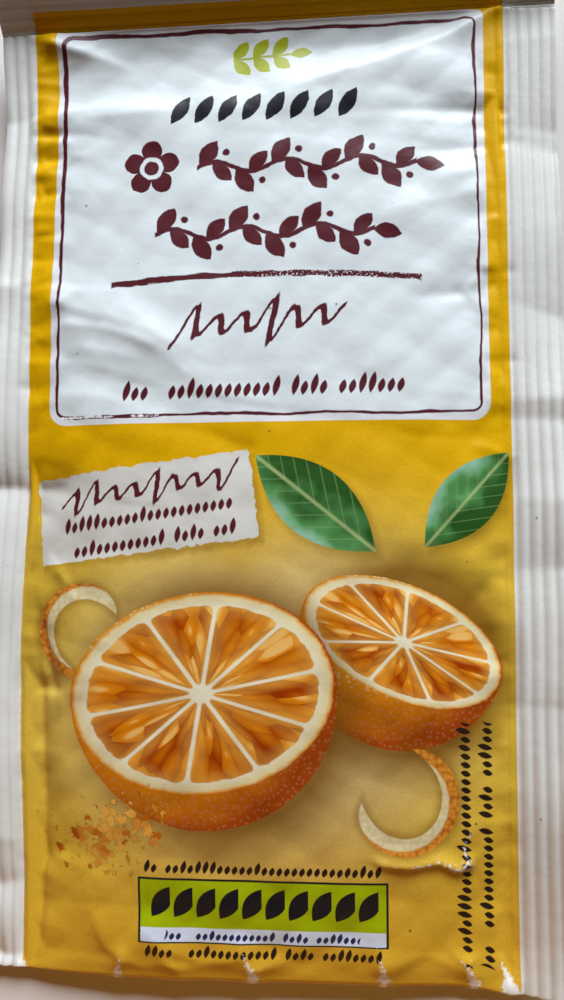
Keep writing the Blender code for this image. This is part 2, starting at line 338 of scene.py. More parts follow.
def crumples():
    """Short faint creases in all directions, as handling leaves them in stiff foil."""
    rng = np.random.default_rng(SEED + 7)
    found = []
    for _ in range(100):
        x = rng.uniform(POUCH_LEFT + 1, POUCH_RIGHT - 1)
        y = rng.uniform(2, BODY_LENGTH - 2)
        angle = rng.uniform(-1.1, 1.1)
        half = rng.uniform(1.2, 5.0)
        dx, dy = half * math.cos(angle), half * math.sin(angle)
        ends = ((x - dx, y - dy), (x + dx, y + dy))
        height = rng.uniform(0.03, 0.09) * rng.choice((-1, 1))
        left, right = rng.uniform(0.6, 2.8, 2)
        found.append(Crease(ends, (height, height * rng.uniform(0, 1)), left, right))
    return found


def facets(across, along):
    """The flat facets of stiff foil: rounded folds in several directions, strongest at the rim."""
    rng = np.random.default_rng(SEED + 1)
    total = np.zeros(across.shape)
    for _ in range(10):
        angle = rng.uniform(0, math.pi)
        pitch = rng.uniform(9.0, 24.0)
        run = across * math.cos(angle) + along * math.sin(angle)
        bend = 2.2 * np.sin((across * math.sin(angle) - along * math.cos(angle)) / rng.uniform(6, 15))
        wave = np.sin((run + bend) * 2 * math.pi / pitch + rng.uniform(0, 6))
        total += rng.uniform(0.05, 0.13) * (np.sqrt(wave**2 + 0.01) - 0.64)
    inward = np.minimum(along, BODY_LENGTH - along)
    inward = np.minimum(POUCH_HALF - np.abs(across - POUCH_MIDDLE), inward)
    return total * eased(inward / 3) * (0.6 + 0.8 * np.exp(-np.maximum(inward, 0) / 9))


def pressed(across, along):
    """Height of all creases, puckers, dents and facets together, and the wear that they leave."""
    height = facets(across, along)
    wear = np.zeros(across.shape)
    sealed = eased((np.abs(across - POUCH_MIDDLE) - POUCH_HALF) / 1.4)
    for line in (*CREASES, *seam_puckers(), *crumples()):
        lifted, worn = creased(across, along, line)
        inside = all(POUCH_LEFT < x < POUCH_RIGHT for x, _ in line.points)
        height += lifted * (1 - 0.85 * sealed * inside)
        wear = np.maximum(wear, worn)
    for x, y, depth, radius in DENTS:
        height -= depth * np.exp(-((np.hypot(across - x, along - y) / radius) ** 1.4))
    flap = eased((along - BODY_LENGTH) / 2)
    return height * (0.5 + 0.5 * eased(along / 1.5)) * (1 - flap), wear


def seam_height(across, along):
    """Height of the seals' middle: lower at the fold, waving, with outer edges that curl up."""
    side = across / PACK_HALF
    right_side = np.maximum(side, 0) ** 2
    rise = eased(along / (FOLD_RUN * (1 - 0.45 * right_side)))
    left = wander(along, ((68, 0.35), (27, 0.12), (11.5, 0.05)), 3)
    right = wander(along, ((74, 0.32), (31, 0.12), (13.0, 0.05)), 5)
    waves = np.maximum(-side, 0) * left + np.maximum(side, 0) * right
    low = FOLD_HEIGHT + 0.5 * np.maximum(-side, 0) - 0.5 * right_side
    left_rim = np.clip((POUCH_LEFT - across) / (PACK_HALF + POUCH_LEFT), 0, 1)
    right_rim = np.clip((across - POUCH_RIGHT) / (PACK_HALF - POUCH_RIGHT), 0, 1)
    curled = LEFT_CURL * left_rim * eased(along / 9) * (1 - eased((along - 75) / 20))
    curled = curled + LEFT_TOP_CURL * left_rim * eased((along - 100) / 15)
    curled = curled + RIGHT_CURL * right_rim * (1 - eased((along - 58) / 34))
    curled = curled + RIGHT_CORNER_CURL * right_rim * (1 - eased((along - 8) / 30))
    return low + (SEAM_HEIGHT - low) * rise + waves * (0.3 + 0.7 * rise) + curled


def in_seal(across, along):
    """1 in the seals, and 0 over the pouch."""
    side = eased((np.abs(across - POUCH_MIDDLE) - POUCH_HALF + 0.8) / 0.8)
    return np.maximum(side, eased((along - BODY_LENGTH + 0.8) / 0.8))


def top_fall(across, along):
    """The share of the filling's height lost on the slope that crosses the pack under the top seal."""
    crest = 123.6 + 0.205 * across + 0.0035 * across**2
    soft = 0.2 + 1.3 * around(across, -5, 8)
    run = 1.0 + 1.8 * around(across, -8, 16)
    past = soft * np.logaddexp(0, (along - crest) / soft)
    return 1 - np.exp(-past / run)


def dome(across, along):
    """How far the filling lifts the front above the seams."""
    over = 1 - np.minimum(np.abs(across - POUCH_MIDDLE) / POUCH_HALF, 1.0) ** DOME_POWER
    up = np.maximum(along, 0.0)
    down = np.maximum(BODY_LENGTH - along, 0.0)
    dip = TOP_DIP * around(along, 130, 2.8)
    filled = (1 - np.exp(-up / BOTTOM_SHOULDER)) * (1 - top_fall(across, along)) - dip
    filled *= 1 - TOP_SINK * eased((along - 40) / 84)
    fold = (2 * FOLD_HALF - THICKNESS) * np.exp(-up / BOTTOM_SHOULDER)
    lumps = 1 + 0.05 * np.sin(across / 9.0 + 1.0) * np.sin(along / 14.0)
    return over * (DOME_HEIGHT * filled * lumps + fold * (down > 0))


def sheet_heights(across, along):
    """Heights of the front's and the back's outer faces, and the front's wear."""
    seam = seam_height(across, along)
    marks, wear = pressed(across, along)
    ends = eased(along / TOUCHDOWN) * eased((BODY_LENGTH - along) / TOUCHDOWN)
    resting = eased((POUCH_HALF - np.abs(across - POUCH_MIDDLE)) / TOUCHDOWN) * ends
    back = np.maximum(seam - THICKNESS / 2 + marks * in_seal(across, along), 0) * (1 - resting)
    front = seam + THICKNESS / 2 + marks + dome(across, along)
    return np.maximum(front, back + THICKNESS), back, wear


def drift(across, along):
    """How far the web has crept sideways: its sides wander, and the left one bulges low down."""
    outer = np.clip((np.abs(across) - 18) / 18, 0, 1)
    rim = np.clip((np.abs(across) - 34) / 6, 0, 1)
    left = 0.84 * around(along, 40, 19) * outer + 0.28 * eased((along - 55) / 30) * rim
    left = left - 0.34 * around(along, 120, 9) * outer
    right = wander(along, ((52, 0.10), (21, 0.05)), 8) * rim
    right = right - 0.40 * around(along, 28, 22) * outer
    return np.where(across < 0, -left, right)


def bent(across, along, height):
    """The web's points and its upward direction there, after the bend under the top seal."""
    radius = CURL_RUN / CURL_ANGLE
    start = CURL_START + CURL_LEAN * across
    past = np.maximum(along - start, 0.0)
    angle = np.minimum(past, CURL_RUN) / radius
    rest = np.maximum(past - CURL_RUN, 0.0)
    up = np.stack([np.zeros_like(angle), -np.sin(angle), np.cos(angle)], -1)
    slack = CORNER_SLACK * eased((across - 24) / 8) * np.exp(-np.maximum(along, 0) / 6)
    y = np.minimum(along, start) + radius * np.sin(angle) + rest * np.cos(angle) - slack
    z = radius * (1 - np.cos(angle)) + rest * np.sin(angle)
    return np.stack([across + drift(across, along), y + FOLD_Y, z], -1) + up * height[..., None], up


# --- the web's mesh ----------------------------------------------------------------------

def graded(half, steps, evenness):
    """Places from -half to half, closer together towards both ends."""
    share = np.linspace(-1, 1, steps + 1)
    return half * (evenness * share + (1 - evenness) * np.sin(math.pi / 2 * share))


def web_lines():
    """Places across and along the front: fine steps over the ribs, wider ones over the pouch."""
    left = np.linspace(-PACK_HALF, POUCH_LEFT, LEFT_RIBS * STEPS_PER_SIDE_RIB + 1)
    right = np.linspace(POUCH_RIGHT, PACK_HALF, RIGHT_RIBS * STEPS_PER_SIDE_RIB + 1)
    pouch = POUCH_MIDDLE + graded(POUCH_HALF, POUCH_COLUMNS, 0.6)
    across = np.concatenate([left, pouch[1:-1], right])
    body = BODY_LENGTH / 2 + graded(BODY_LENGTH / 2, POUCH_ROWS, 0.8)
    top = np.linspace(BODY_LENGTH, WEB_LENGTH, TOP_RIBS * STEPS_PER_TOP_RIB + 1)
    return across, np.concatenate([body, top[1:]])


def stitched(first, second):
    """Faces between two lines of points, where the second has as many points or half as many steps."""
    if len(first) == len(second):
        return [(a, c, d, b) for a, b, c, d in zip(first, first[1:], second, second[1:])]
    faces = []
    for k in range(len(second) - 1):
        a, b, c = first[2 * k : 2 * k + 3]
        d, e = second[k : k + 2]
        faces += [(a, d, b), (b, d, e), (b, e, c)]
    return faces


def web_blocks(columns, rows):
    """The front's lines of points from the top down, the bottom fold's, and the back's upwards.

    Each block holds places and upward directions, then across, the print's along, the true
    along, and the wear.
    """
    across, along = np.meshgrid(columns, rows)
    front, back, wear = sheet_heights(across, along)
    xyz, up = bent(across, along, front)
    blocks = [(xyz[::-1], up[::-1], across[::-1], along[::-1], along[::-1], wear[::-1])]

    angle = math.pi * np.arange(1, FOLD_STEPS)[:, None] / FOLD_STEPS
    radius = (front[0] - back[0]) / 2
    flat = np.zeros_like(angle * columns)
    xyz, up = bent(flat + columns, flat, back[0] + radius * (1 + np.cos(angle)))
    xyz[..., 1] -= radius * np.sin(angle)
    blocks.append((xyz, up, flat + columns, flat - FOLD_HALF * angle, flat, flat + wear[0]))

    thin = (slice(None, None, 2), slice(None, None, 2))
    xyz, up = bent(across[thin], along[thin], back[thin])
    behind = -along[thin] - math.pi * FOLD_HALF
    blocks.append((xyz, up, across[thin], behind, along[thin], 0 * behind))
    return blocks


def web_faces(lines, rows_down):
    """Faces over all lines of points and round the three cut edges, and the print each carries."""
    faces, regions = [], []
    last_front = len(rows_down) - 1
    for number, (first, second) in enumerate(zip(lines, lines[1:])):
        strip = stitched(first, second)
        faces += strip
        upper = number < last_front and rows_down[number + 1] > UPPER_FROM
        regions += [UPPER if upper else LOWER if number < last_front else BACK] * len(strip)
    behind = lines[last_front + FOLD_STEPS :]
    faces += stitched(lines[0][::-1], behind[-1][::-1])
    before = lines[: last_front + 1]
    faces += stitched([line[0] for line in before[::-1]], [line[0] for line in behind])
    faces += stitched([line[-1] for line in before], [line[-1] for line in behind[::-1]])
    turn = lines[last_front : last_front + FOLD_STEPS + 1]
    faces.append(tuple(line[0] for line in turn[::-1]))
    faces.append(tuple(line[-1] for line in turn))
    regions += [EDGE] * (len(faces) - len(regions))
    return faces, regions


def web_object():
    """The folded web as one closed skin: front, bottom fold, back and the three cut edges."""
    columns, rows = web_lines()
    blocks = web_blocks(columns, rows)
    lines = []
    start = 0
    for block in blocks:
        for line in block[2]:
            lines.append(list(range(start, start + len(line))))
            start += len(line)
    faces, regions = web_faces(lines, rows[::-1])
    points, ups, xs, prints, alongs, wears = (
        np.concatenate([block[k].reshape(-1, 3) if k < 2 else block[k].ravel() for block in blocks])
        for k in range(6)
    )

    mesh = bpy.data.meshes.new("sachet_web")
    mesh.from_pydata(points * MM, [], faces)
    corners = np.empty(len(mesh.loops), int)
    mesh.loops.foreach_get("vertex_index", corners)
    layer = mesh.uv_layers.new(name="web")
    layer.uv.foreach_set("vector", np.stack([xs, prints], -1)[corners].astype(np.float32).ravel())

    # how deep each point lies in a seal, counted from the pouch
    past_top = alongs - BODY_LENGTH
    right_depth = xs - POUCH_RIGHT + RIGHT_RIB_PHASE * RIB_PITCH
    side_depth = np.where(xs > POUCH_MIDDLE, right_depth, POUCH_LEFT - xs)
    depth = np.where(past_top > 0, past_top, np.maximum(side_depth, -1.0))
    ups *= np.where(past_top > 0, TOP_RIB_SHARE, 1.0)[:, None]
    kept = (
        ("rib_depth", "FLOAT", "POINT", depth),
        ("wear", "FLOAT", "POINT", wears),
        ("web_up", "FLOAT_VECTOR", "POINT", ups),
        ("region", "INT", "FACE", np.array(regions)),
    )
    for name, kind, domain, values in kept:
        attribute = mesh.attributes.new(name, kind, domain)
        attribute.data.foreach_set("vector" if kind == "FLOAT_VECTOR" else "value", values.ravel())
    web = bpy.data.objects.new("sachet_web", mesh)
    bpy.context.collection.objects.link(web)
    return web


def rib_tree(prints):
    """Geometry Nodes that press the sealing jaws' ribs into both faces and dress each region."""
    tree = bpy.data.node_groups.new("seal_ribs", "GeometryNodeTree")
    add = partial(put, tree)
    sockets = [("Web", "Geometry"), ("Pitch", "Float"), ("Height", "Float")]
    sockets += [(name, "Material") for name in prints]
    for name, kind in sockets:
        tree.interface.new_socket(name, in_out="INPUT", socket_type="NodeSocket" + kind)
    tree.interface.new_socket("Web", in_out="OUTPUT", socket_type="NodeSocketGeometry")
    given = add("NodeGroupInput").outputs
    depth = add("GeometryNodeInputNamedAttribute FLOAT", "rib_depth")
    up = add("GeometryNodeInputNamedAttribute FLOAT_VECTOR", "web_up")
    region = add("GeometryNodeInputNamedAttribute INT", "region")
    turn = add("Math DIVIDE", depth, given["Pitch"])
    turn = add("Math MULTIPLY", turn, math.pi)
    wave = add("Math SINE", turn)
    wave = add("Math ABSOLUTE", wave)
    sealed = add("Math GREATER_THAN", depth, 0.0)
    wave = add("Math MULTIPLY", wave, sealed)
    wave = add("Math MULTIPLY", wave, given["Height"])
    lift = add("VectorMath SCALE", up, wave)
    moved = add("GeometryNodeSetPosition", given["Web"], None, None, lift)
    dressed = add("GeometryNodeRealizeInstances", moved)
    for number, name in enumerate(prints):
        chosen = add("FunctionNodeCompare EQUAL", region, number, data_type="INT")
        dressed = add("GeometryNodeSetMaterial", dressed, chosen, given[name])
    add("NodeGroupOutput", dressed)
    return tree


def ribbed(web, prints):
    """Runs the rib tree on the web and keeps the result as a plain mesh."""
    tree = rib_tree(prints)
    ribs = web.modifiers.new("seal_ribs", "NODES")
    ribs.node_group = tree
    values = {"Pitch": RIB_PITCH, "Height": RIB_HEIGHT * MM, **prints}
    for socket in tree.interface.items_tree:
        if socket.in_out == "INPUT" and socket.name in values:
            ribs[socket.identifier] = values[socket.name]
    graph = bpy.context.evaluated_depsgraph_get()
    mesh = bpy.data.meshes.new_from_object(
        web.evaluated_get(graph), preserve_all_data_layers=True, depsgraph=graph
    )
    web.modifiers.clear()
    web.data = mesh
    for name in ("rib_depth", "web_up", "region"):
        mesh.attributes.remove(mesh.attributes[name])
    mesh.shade_smooth()
    mesh.set_sharp_from_angle(angle=math.radians(60))
    return web


# --- shapes for printing -----------------------------------------------------------------
# In all that follows, "add" is the function "put" for one material's tree.

def shaded(add, value, limits, first, second, most=1.0):
    """Turns from a first colour to a second one as a value goes from one limit to the other."""
    share = add("MapRange", value, *limits, 0.0, most)
    return add("Mix RGBA", share, first, second)


def printed(add, below, colour, distance, blur=0.05, strength=1.0):
    """Lays a colour inside a shape, given the distance to its edge, over what is below it."""
    return shaded(add, distance, (blur, -blur), below, colour, strength)


def joined(add, *shapes):
    """Distance to the nearest of several shapes."""
    nearest = shapes[0]
    for shape in shapes[1:]:
        nearest = add("Math MINIMUM", nearest, shape)
    return nearest


def beyond(add, value, half, middle=0.0):
    """How far a value lies outside a stretch, given half its length and its middle."""
    away = add("Math SUBTRACT", value, middle)
    away = add("Math ABSOLUTE", away)
    return add("Math SUBTRACT", away, half)


def shaken(add, place, size, detail, reach):
    """Places made uneven by a noise, as a drawing hand or a tear is, and the noise itself."""
    noise = add("TexNoise 2D", place, 1 / size, detail).outputs
    shake = add("VectorMath SUBTRACT", noise["Color"], (0.5, 0.5, 0.5))
    return add("VectorMath MULTIPLY_ADD", shake, (reach, reach, 0), place), noise["Fac"]


def seen_from(add, place, middle, angle=0, size=(1, 1)):
    """Places as a motif has them, from its own middle and along its turned and sized axes.

    Gives the places, and their two measures on their own.
    """
    turn = (0, 0, math.radians(angle))
    local = add("Mapping", place, (*middle, 0), turn, (*size, 1), vector_type="TEXTURE")
    split = add("SeparateXYZ", local).outputs
    return local, split["X"], split["Y"]


def card(add, place, middle, size, corner):
    """Distance to the edge of a rectangle with round corners."""
    away = add("VectorMath SUBTRACT", place, (*middle, 0))
    away = add("VectorMath ABSOLUTE", away)
    past = add("VectorMath SUBTRACT", away, (size[0] / 2 - corner, size[1] / 2 - corner, 0))
    past = add("VectorMath MAXIMUM", past, (0, 0, 0))
    past = add("VectorMath LENGTH", past)
    return add("Math SUBTRACT", past, corner)


def leaf(add, place, base, angle, length, width):
    """Distance to a pointed leaf's edge, and the places along it, from 0 to 1, and across it."""
    _, up, over = seen_from(add, place, base, angle, (length, width))
    belly = add("Math MULTIPLY_ADD", up, -2.0, 2.0)
    belly = add("Math MULTIPLY", belly, up)
    aside = add("Math ABSOLUTE", over)
    past = add("Math SUBTRACT", aside, belly)
    return add("Math MULTIPLY", past, width), up, over, aside


def leaf_row(add, place, middle, pitch, half, base, angle, length, width):
    """Distance, in pitches, to a row of slanted leaves, given half their number."""
    _, x, y = seen_from(add, place, middle, 0, (pitch, pitch))
    step = add("Math FRACT", x)
    cell = add("CombineXYZ", step, y)
    row = leaf(add, cell, base, angle, length, width)[0]
    return add("Math MAXIMUM", row, beyond(add, x, half))


def vine(add, place, start, swings, pitch):
    """Distance to a waving stem with leaves and berries to both sides in turn, and a leaf at its end."""
    local, x, y = seen_from(add, place, start, 0, (pitch, pitch))
    turn = add("Math MULTIPLY", x, math.pi)
    wave = add("Math SINE", turn)
    stem = add("Math MULTIPLY_ADD", wave, -0.16, y)
    stem = beyond(add, stem, 0.07)
    flip = add("Math SIGN", wave)
    flip = add("Math MULTIPLY", y, flip)
    step = add("Math FRACT", x)
    cell = add("CombineXYZ", step, flip)
    large = leaf(add, cell, (0.06, 0.08), 54, 0.84, 0.48)[0]
    small = leaf(add, cell, (0.42, 0.12), -44, 0.74, 0.42)[0]
    berry = add("VectorMath DISTANCE", cell, (0.80, 0.42, 0))
    berry = add("Math SUBTRACT", berry, 0.10)
    shape = joined(add, large, small, berry, stem)
    shape = add("Math MAXIMUM", shape, beyond(add, x, swings / 2, swings / 2))
    return joined(add, shape, leaf(add, local, (swings - 0.05, -0.02), -12, 0.8, 0.42)[0])


def sprig(add, place, start, angle, pitch=2.9):
    """Distance to three pairs of leaves on a straight stem, and one leaf at its tip."""
    local, x, y = seen_from(add, place, start, angle)
    aside = add("Math ABSOLUTE", y)
    step = add("Math MULTIPLY", x, 1 / pitch)
    step = add("Math FRACT", step)
    step = add("Math MULTIPLY", step, pitch)
    cell = add("CombineXYZ", step, aside)
    pair = leaf(add, cell, (0.1, 0.1), 46, 3.4, 1.9)[0]
    stem = add("Math SUBTRACT", aside, 0.18)
    pair = joined(add, pair, stem)
    pair = add("Math MAXIMUM", pair, beyond(add, x, 1.5 * pitch, 1.5 * pitch))
    tip = leaf(add, local, (8.4, 0), 0, 3.2, 1.7)[0]
    return joined(add, pair, tip)


def blossom(add, place, middle, radius):
    """Distance, in radii, to a five-petalled flower with an open ring at its centre."""
    local, x, y = seen_from(add, place, middle, 18, (radius, radius))
    turn = add("Math ARCTAN2", y, x)
    turn = add("Math MULTIPLY", turn, 2.5)
    petal = add("Math COSINE", turn)
    petal = add("Math ABSOLUTE", petal)
    petal = add("Math SQRT", petal)
    petal = add("Math MULTIPLY_ADD", petal, -0.55, -0.45)
    out = add("VectorMath LENGTH", local)
    flower = add("Math ADD", out, petal)
    ring = add("Math SUBTRACT", out, 0.34)
    ring = add("Math ABSOLUTE", ring)
    ring = add("Math SUBTRACT", 0.075, ring)
    return add("Math MAXIMUM", flower, ring)


def flourish(add, place, middle, angle, length, wave, height, weight):
    """Distance to a slanted brush stroke that swings up and down, high and low in turn."""
    rate = 2 * math.pi / wave
    low, high = 0.62 * height, 1.5 * height
    _, x, y = seen_from(add, place, middle, angle)
    slant = add("Math MULTIPLY_ADD", y, -0.45, x)
    turn = add("Math MULTIPLY", slant, rate)
    beat = add("Math MULTIPLY_ADD", slant, rate / 3.6, 0.6)
    beat = add("Math SINE", beat)
    swing = add("MapRange", beat, 0.2, 1.0, low, high, interpolation_type="SMOOTHSTEP")
    line = add("Math SINE", turn)
    line = add("Math MULTIPLY", line, swing)
    slope = add("Math COSINE", turn)
    slope = add("Math MULTIPLY", slope, swing)
    slope = add("Math MULTIPLY", slope, rate)
    press = add("MapRange", slope, -2.0, 2.0, 0.70 * weight, 0.34 * weight)
    slope = add("Math MULTIPLY_ADD", slope, slope, 1.0)
    slope = add("Math SQRT", slope)
    line = add("Math SUBTRACT", line, y)
    line = add("Math ABSOLUTE", line)
    line = add("Math DIVIDE", line, slope)
    line = add("Math SUBTRACT", line, press)
    return add("Math MAXIMUM", line, beyond(add, slant, length / 2))


def grains(add, place, middle, angle, length, height, pitch, rows=1, gap=1.0):
    """Distance to rows of slanted grains, some small and some left out, in place of small print."""
    _, x, y = seen_from(add, place, middle, angle)
    row = add("Math MULTIPLY_ADD", y, 1 / gap, rows / 2)
    row = add("Math FLOOR", row)
    row = add("Math MAXIMUM", row, 0.0)
    row = add("Math MINIMUM", row, rows - 1.0)
    level = add("Math MULTIPLY_ADD", row, -gap, (rows - 1) * gap / 2)
    level = add("Math ADD", level, y)
    slant = add("Math MULTIPLY_ADD", level, -0.25, x)
    cell = add("Math MULTIPLY", slant, 1 / pitch)
    number = add("Math FLOOR", cell)
    number = add("CombineXYZ", number, row)
    chance = add("TexWhiteNoise 2D", number).outputs["Color"]
    chance = add("SeparateXYZ", chance).outputs
    tall = add("MapRange", chance["Y"], 0.70, 0.72, 0.68 * height, height)
    blank = add("Math GREATER_THAN", chance["X"], 0.14)
    tall = add("Math MULTIPLY", tall, blank)
    tall = add("Math MAXIMUM", tall, 0.01)
    up = add("Math ADD", level, height / 2)
    up = add("Math DIVIDE", up, tall)
    left = add("Math SUBTRACT", 1.0, up)
    belly = add("Math MULTIPLY", up, left)
    belly = add("Math MULTIPLY", belly, 1.5 * pitch)
    step = add("Math FRACT", cell)
    step = add("Math SUBTRACT", step, 0.5)
    step = add("Math ABSOLUTE", step)
    grain = add("Math MULTIPLY", step, pitch)
    grain = add("Math SUBTRACT", grain, belly)
    return add("Math MAXIMUM", grain, beyond(add, slant, length / 2))


# --- the pictures on the print -----------------------------------------------------------

def pored_skin(add, place, x, y, out):
    """The skin of a citrus: a ball lit from above, dull in its pores and glinting between them."""
    rise = add("Math MULTIPLY", out, out)
    rise = add("Math SUBTRACT", 1.0, rise)
    rise = add("Math MAXIMUM", rise, 0.0)
    rise = add("Math SQRT", rise)
    facing = add("CombineXYZ", x, y, rise)
    lit = add("VectorMath DOT_PRODUCT", facing, (-0.42, 0.20, 0.88)).outputs["Value"]
    pore = add("TexVoronoi 2D", place, 1 / 0.8).outputs["Distance"]
    patch = add("TexNoise 2D", place, 1 / 3.2, 2.0)
    dull = add("MapRange", pore, 0.34, 0.12, 0.0, 0.10)
    tone = add("Math SUBTRACT", lit, dull)
    tone = add("Math MULTIPLY_ADD", patch, 0.25, tone)
    skin = shaded(add, tone, (0.15, 0.85), "#A4460B", "#D98410")
    skin = shaded(add, tone, (0.82, 1.10), skin, "#E0A02C")
    glint = add("Math MULTIPLY_ADD", patch, 0.7, lit)
    glint = add("MapRange", glint, 1.02, 1.25, 0.10, 0.85)
    dot = add("MapRange", pore, 0.30, 0.16)
    glint = add("Math MULTIPLY", glint, dot)
    return add("Mix RGBA", glint, skin, "#F6D9A6")


def juicy_pulp(add, face, out, pith, turn, wedges):
    """The wedges of a cut citrus, full of juice sacs: their colour, and distance to their edges."""
    _, right, up = seen_from(add, face, (0, 0), turn)
    bearing = add("Math ARCTAN2", up, right)
    share = add("Math MULTIPLY", bearing, wedges / (2 * math.pi))
    aside = add("Math PINGPONG", share, 0.5)
    aside = add("Math MULTIPLY", aside, out)
    aside = add("Math MULTIPLY_ADD", aside, 2 * math.pi / wedges, -0.016)
    inner = add("Math SUBTRACT", -0.095, pith)
    wedge = add("Math SMOOTH_MIN", aside, inner, 0.10)
    core = add("Math SUBTRACT", out, 0.08)
    wedge = add("Math SMOOTH_MIN", wedge, core, 0.06)
    wedge = add("Math MULTIPLY", wedge, -1.0)

    polar = add("Math MULTIPLY", share, 4.4)
    polar = add("CombineXYZ", polar, out)
    polar = add("VectorMath MULTIPLY", polar, (1.0, 3.4, 0))
    sac = add("TexVoronoi 2D", polar, 1.0).outputs
    tone = add("SeparateXYZ", sac["Color"]).outputs["X"]
    tone = add("Math MULTIPLY_ADD", sac["Distance"], -0.75, tone)
    tone = add("Math MULTIPLY_ADD", up, 0.15, tone)
    tone = add("Math ADD", tone, 0.28)
    pulp = add("Mix RGBA", tone, "#A23A02", "#EF9414", clamp_factor=True)
    pulp = shaded(add, tone, (0.85, 1.0), pulp, "#FFDC8A", 0.6)
    pulp = shaded(add, wedge, (-0.12, 0.0), pulp, "#F3BC55", 0.45)
    return pulp, wedge


def citrus(add, below, place, middle, radius, lean, tilt, turn, wedges):
    """Half a citrus, its cut face tipped to the viewer, with its shadow, skin, pith and pulp."""
    local, x, y = seen_from(add, place, middle, lean, (radius, radius))
    shade = add("VectorMath DISTANCE", local, (0.10, -0.16, 0))
    shade = add("Math SUBTRACT", shade, 1.02)
    colour = printed(add, below, "#7C4E0C", shade, 0.16, 0.85)
    out = add("VectorMath LENGTH", local)
    skin = pored_skin(add, place, x, y, out)

    # the cut face, a circle seen at a slant
    face = seen_from(add, local, (0, 0), 0, (1, tilt))[0]
    out_face = add("VectorMath LENGTH", face)
    rag = add("TexNoise 2D", face, 9.0, 2.0)
    rim = add("Math MULTIPLY_ADD", rag, 0.02, out_face)
    rim = add("Math SUBTRACT", rim, 1.01)
    ball = add("Math SUBTRACT", out, 1.0)
    ball = add("Math MAXIMUM", ball, y)
    colour = printed(add, colour, skin, joined(add, ball, rim), 0.05 / radius)
    cut = add("Math ADD", rim, 0.02)
    colour = printed(add, colour, "#E6962A", cut, 0.20 / radius)
    pith = add("Math MULTIPLY_ADD", rag, 0.04, out_face)
    pith = add("Math SUBTRACT", pith, 0.985)
    white = shaded(add, pith, (-0.12, 0.0), "#F1EBCB", "#E9D79A")
    colour = printed(add, colour, white, pith, 0.30 / radius)

    pulp, wedge = juicy_pulp(add, face, out_face, pith, turn, wedges)
    return printed(add, colour, pulp, wedge, 0.10 / radius)


def green_leaf(add, below, place, base, angle, length, width):
    """A glossy dark leaf with a pale midrib and side veins, and its soft shadow."""
    slipped = add("VectorMath ADD", place, (-0.7, 0.9, 0))
    shade = leaf(add, slipped, base, angle, length, width)[0]
    colour = printed(add, below, "#7A5A12", shade, 0.9, 0.6)
    edge, up, over, aside = leaf(add, place, base, angle, length, width)
    sheen = add("TexNoise 2D", place, 1 / 5.0, 2.0)
    sheen = add("Math MULTIPLY_ADD", over, 0.9, sheen)
    green = shaded(add, sheen, (0.35, 0.80), "#2A541E", "#5C9C58")
    green = shaded(add, sheen, (0.72, 1.05), green, "#A8D0BE", 0.6)
    vein = add("Math MULTIPLY_ADD", aside, -0.55, up)
    vein = add("Math MULTIPLY", vein, 8.0)
    vein = add("Math PINGPONG", vein, 0.5)
    vein = add("Math SUBTRACT", vein, 0.035)
    green = printed(add, green, "#86A868", vein, 0.045, 0.55)
    midrib = add("Math SUBTRACT", aside, 0.022)
    green = printed(add, green, "#A9BF7C", midrib, 0.02, 0.85)
    return printed(add, colour, green, edge, 0.06)


def zest_strip(add, below, place, middle, radius, angle, sweep, width):
    """A thin curl of zest that twists from its orange skin to its pale inside."""
    local, x, y = seen_from(add, place, middle, angle, (radius, radius))
    out = add("VectorMath LENGTH", local)
    turn = add("Math ARCTAN2", y, x)
    share = add("Math MULTIPLY", turn, 1 / math.radians(sweep))
    taper = add("Math MULTIPLY", share, share)
    taper = add("Math MULTIPLY", taper, taper)
    taper = add("Math SUBTRACT", 1.0, taper)
    taper = add("Math MULTIPLY", taper, width / 2)
    spiral = add("Math MULTIPLY_ADD", share, 0.16, 1.0)
    off = add("Math SUBTRACT", out, spiral)
    off = add("Math MULTIPLY", off, radius)
    thin = beyond(add, off, taper)
    slipped = add("Math ADD", thin, -0.2)
    colour = printed(add, below, "#7E5610", slipped, 0.9, 0.8)
    grit = add("TexVoronoi 2D", place, 1 / 0.7)
    skin = add("Mix RGBA", grit, "#EDA23A", "#A84E0A")
    inside = add("Math MULTIPLY_ADD", grit, -0.35, off)
    inside = add("Math MULTIPLY_ADD", share, 0.42 * width, inside)
    pale = add("Mix RGBA", grit, "#F0E8BE", "#DCC98C")
    skin = printed(add, skin, pale, inside, 0.12)
    return printed(add, colour, skin, thin, 0.08)


def grated_peel(add, below, place, middle, size):
    """A sprinkling of grated peel, dense in the middle and thinning out."""
    local = seen_from(add, place, middle, 12, size)[0]
    out = add("VectorMath LENGTH", local)
    rag = add("TexNoise 2D", place, 1 / 1.1, 2.0).outputs["Color"]
    rag = add("VectorMath MULTIPLY_ADD", rag, (1.5, 1.5, 0), place)
    crumb = add("TexVoronoi 2D", rag, 1 / 1.15).outputs
    chance = add("SeparateXYZ", crumb["Color"]).outputs
    reach = add("Math SUBTRACT", chance["X"], out)
    reach = add("MapRange", reach, -0.5, 0.3, -0.3, 0.60)
    crumb = add("Math SUBTRACT", crumb["Distance"], reach)
    shade = add("Math SUBTRACT", crumb, 0.12)
    colour = printed(add, below, "#8C5C12", shade, 0.14, 0.6)
    tint = add("Mix RGBA", chance["Y"], "#B25206", "#F0B44A")
    return printed(add, colour, tint, crumb, 0.08)


# --- the print ---------------------------------------------------------------------------

FIELD_LEFT, FIELD_RIGHT, FIELD_TOP = -35.3, 32.65, 139.3
PANEL_MIDDLE, PANEL_SIZE = (-1.08, 105.05), (61.85, 60.3)
OUTLINE_MIDDLE, OUTLINE_SIZE = (-1.16, 104.47), (59.4, 56.95)
LABEL_SIZE, LABEL_LEAN = (30.7, 12.1), 7.3
TITLE_SCALE = 4.5

